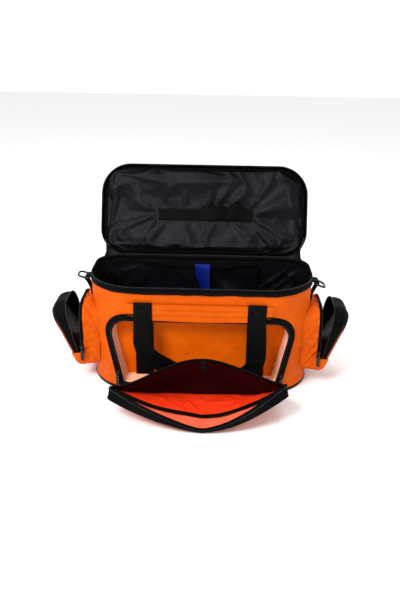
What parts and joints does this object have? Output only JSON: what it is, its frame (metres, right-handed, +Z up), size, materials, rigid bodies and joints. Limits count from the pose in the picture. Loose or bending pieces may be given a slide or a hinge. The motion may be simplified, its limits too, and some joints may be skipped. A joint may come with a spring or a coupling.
{
  "type": "trauma bag",
  "caption": "Soft rectangular trauma holdall, open: wide zipped lid, gaping front organiser pocket, zipped end pockets, webbing carry handles and strap rings.",
  "frame": {"origin": "centre of the base panel's underside, on the floor", "axes": "+Z up, +X towards the bag's right-hand end as seen from the front, -Y towards the front pocket"},
  "size_m": [0.6438, 0.4592, 0.4288],
  "materials": {
    "orange_shell": "coated nylon, soft sheen, fine weave",
    "orange_inner_wall": "coated nylon in shade",
    "salmon_gusset": "thin uncoated nylon lining",
    "red_lining": "thin nylon lining",
    "black_mesh_panel": "dark organiser panel",
    "black_lining": "thin black nylon with a soft sheen",
    "black_tape": "zip tape and binding",
    "black_webbing": "polypropylene webbing",
    "blue_webbing": "blue webbing",
    "base_fabric": "coated black fabric",
    "stiffener_board": "corrugated board",
    "ring_plastic": "moulded, glossy",
    "slider_metal": "black enamel",
    "pull_cord": "moulded zip pull"
  },
  "bodies": {
    "bag": {"base_panel": "base_fabric", "base_stiffener": "stiffener_board", "base_piping": "black_tape", "shell_outer": "orange_shell", "rim_zip_tape": "black_tape", "compartment_lining": "black_lining", "rear_wall_pocket": "black_lining", "left_end_pocket": "black_lining", "right_end_pocket": "black_lining", "blue_strap": "blue_webbing", "front_pocket_wall": "orange_inner_wall", "front_pocket_gusset": "salmon_gusset", "front_zip_tape": "black_tape", "storm_flap": "orange_shell", "front_load_webbing": "black_webbing", "rear_load_webbing": "black_webbing", "front_handle_anchor": "black_webbing", "rear_handle_anchor": "black_webbing", "left_pocket_gusset": "orange_shell", "right_pocket_gusset": "orange_shell", "left_pocket_zip_tape": "black_tape", "right_pocket_zip_tape": "black_tape", "left_dring_tab": "black_webbing", "right_dring_tab": "black_webbing"},
    "lid": {"lid_zip_tape": "black_tape", "lid_gusset": "black_tape", "lid_hinge_strip": "black_tape", "lid_panel": "orange_shell", "lid_piping": "black_tape", "lid_lining": "black_lining", "lid_inner_band": "black_webbing"},
    "front_flap": {"front_flap_panel": "orange_shell", "front_flap_lining": "red_lining", "front_flap_inner_pocket": "red_lining", "front_flap_organiser": "black_mesh_panel", "front_flap_binding": "black_tape", "front_flap_tab": "black_webbing"},
    "left_flap": {"left_flap_panel": "orange_shell", "left_flap_gusset": "black_tape", "left_flap_lining": "black_lining"},
    "right_flap": {"right_flap_panel": "orange_shell", "right_flap_gusset": "black_tape", "right_flap_lining": "black_lining"},
    "front_handle": {"front_handle_loop": "black_webbing"},
    "rear_handle": {"rear_handle_loop": "black_webbing"},
    "left_ring": {"left_dring": "ring_plastic"},
    "right_ring": {"right_dring": "ring_plastic"},
    "left_lid_slider": {"left_lid_zip_slider": "slider_metal"},
    "left_lid_pull": {"left_lid_zip_pull": "pull_cord"},
    "left_front_slider": {"left_front_zip_slider": "slider_metal"},
    "left_front_pull": {"left_front_zip_pull": "pull_cord"},
    "left_end_slider": {"left_end_zip_slider": "slider_metal"},
    "left_end_pull": {"left_end_zip_pull": "pull_cord"},
    "right_lid_slider": {"right_lid_zip_slider": "slider_metal"},
    "right_lid_pull": {"right_lid_zip_pull": "pull_cord"},
    "right_front_slider": {"right_front_zip_slider": "slider_metal"},
    "right_front_pull": {"right_front_zip_pull": "pull_cord"},
    "right_end_slider": {"right_end_zip_slider": "slider_metal"},
    "right_end_pull": {"right_end_zip_pull": "pull_cord"}
  },
  "joints": [
    {"name": "lid_hinge", "type": "hinge", "parent": "bag", "child": "lid", "pos_m": [0, 0.103, 0.2393], "axis": [1, 0, 0], "range_deg": [-55, 113]},
    {"name": "front_flap_hinge", "type": "hinge", "parent": "bag", "child": "front_flap", "pos_m": [0, -0.105, 0.0025], "axis": [-1, 0, 0], "range_deg": [0, 90], "deforming": ["front_flap_panel", "front_flap_lining", "front_flap_inner_pocket", "front_flap_organiser", "front_flap_binding", "front_flap_tab"]},
    {"name": "front_handle_swing", "type": "hinge", "parent": "bag", "child": "front_handle", "pos_m": [0, -0.1098, 0.165], "axis": [-1, 0, 0], "range_deg": [0, 170], "deforming": ["front_handle_loop"]},
    {"name": "rear_handle_swing", "type": "hinge", "parent": "bag", "child": "rear_handle", "pos_m": [0, 0.1096, 0.165], "axis": [1, 0, 0], "range_deg": [0, 145], "deforming": ["rear_handle_loop"]},
    {"name": "left_flap_hinge", "type": "hinge", "parent": "bag", "child": "left_flap", "pos_m": [-0.2575, 0, 0.0375], "axis": [0, 1, 0], "range_deg": [-76.5, 13.5]},
    {"name": "right_flap_hinge", "type": "hinge", "parent": "bag", "child": "right_flap", "pos_m": [0.2575, 0, 0.0375], "axis": [0, -1, 0], "range_deg": [-79, 11]},
    {"name": "left_ring_hinge", "type": "hinge", "parent": "bag", "child": "left_ring", "pos_m": [-0.2415, 0, 0.221], "axis": [0, 1, 0], "range_deg": [-95, 60]},
    {"name": "right_ring_hinge", "type": "hinge", "parent": "bag", "child": "right_ring", "pos_m": [0.2415, 0, 0.221], "axis": [0, -1, 0], "range_deg": [-58, 97]},
    {"name": "left_lid_slider_run", "type": "hinge", "parent": "bag", "child": "left_lid_slider", "pos_m": [-0.179, 0.047, 0.234], "axis": [0, 0, 1], "range_deg": [0, 62]},
    {"name": "left_front_slider_run", "type": "slide", "parent": "bag", "child": "left_front_slider", "axis": [-0.2175, 0.1106, 0.9698], "range_m": [0, 0.08]},
    {"name": "left_end_slider_run", "type": "slide", "parent": "bag", "child": "left_end_slider", "axis": [0, 0, 1], "range_m": [0, 0.057]},
    {"name": "left_lid_pull_swing", "type": "hinge", "parent": "left_lid_slider", "child": "left_lid_pull", "pos_m": [-0.20706, 0.10206, 0.233], "axis": [0.891, 0.454, 0], "range_deg": [0, 80]},
    {"name": "left_front_pull_swing", "type": "hinge", "parent": "left_front_slider", "child": "left_front_pull", "pos_m": [-0.17252, -0.10366, 0.039], "axis": [-0.9314, 0.3641, 0], "range_deg": [0, 110]},
    {"name": "left_end_pull_swing", "type": "hinge", "parent": "left_end_slider", "child": "left_end_pull", "pos_m": [-0.2535, -0.0677, 0.077], "axis": [-1, 0, 0], "range_deg": [0, 110]},
    {"name": "right_lid_slider_run", "type": "hinge", "parent": "bag", "child": "right_lid_slider", "pos_m": [0.179, 0.047, 0.234], "axis": [0, 0, -1], "range_deg": [0, 62]},
    {"name": "right_front_slider_run", "type": "slide", "parent": "bag", "child": "right_front_slider", "axis": [0.2175, 0.1106, 0.9698], "range_m": [0, 0.08]},
    {"name": "right_end_slider_run", "type": "slide", "parent": "bag", "child": "right_end_slider", "axis": [0, 0, 1], "range_m": [0, 0.057]},
    {"name": "right_lid_pull_swing", "type": "hinge", "parent": "right_lid_slider", "child": "right_lid_pull", "pos_m": [0.20706, 0.10206, 0.233], "axis": [0.891, -0.454, 0], "range_deg": [0, 80]},
    {"name": "right_front_pull_swing", "type": "hinge", "parent": "right_front_slider", "child": "right_front_pull", "pos_m": [0.17252, -0.10366, 0.039], "axis": [-0.9314, -0.3641, 0], "range_deg": [0, 110]},
    {"name": "right_end_pull_swing", "type": "hinge", "parent": "right_end_slider", "child": "right_end_pull", "pos_m": [0.2535, -0.0677, 0.077], "axis": [-1, 0, 0], "range_deg": [0, 110]}
  ]
}
